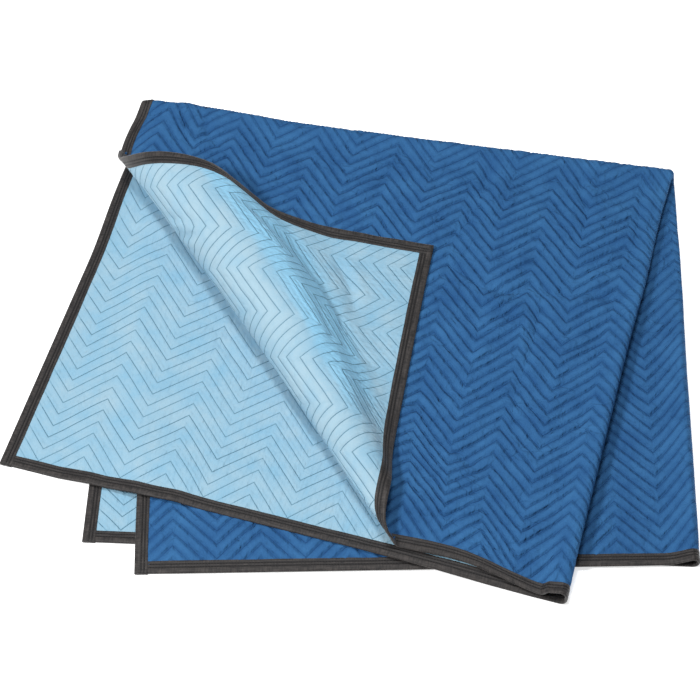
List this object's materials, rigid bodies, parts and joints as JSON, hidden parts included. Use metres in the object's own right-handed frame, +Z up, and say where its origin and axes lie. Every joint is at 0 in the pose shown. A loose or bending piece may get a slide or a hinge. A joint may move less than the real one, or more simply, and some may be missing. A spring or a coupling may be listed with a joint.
{
  "type": "moving blanket",
  "caption": "Quilted padded blanket with taped edges, folded in four, one corner of its top layer rolled back; wraps furniture while it is moved.",
  "frame": {"origin": "middle of the folded blanket's box, on the surface it lies on", "axes": "+Z up through the layers; +X along the longer way of the folded stack, towards its first fold; +Y towards its second fold"},
  "size_m": [1.2328, 1.1094, 0.1445],
  "materials": {
    "dark_cloth": "soft nonwoven cloth, zigzag quilted, matt",
    "light_cloth": "soft nonwoven cloth, zigzag quilted, matt",
    "edge_tape": "woven tape, twice stitched"
  },
  "bodies": {
    "root": {"face_cloth": "dark_cloth", "back_cloth": "light_cloth", "tape_outer_side": "edge_tape", "tape_inner_side": "edge_tape", "tape_front_end": "edge_tape", "tape_rear_end": "edge_tape"}
  },
  "joints": []
}
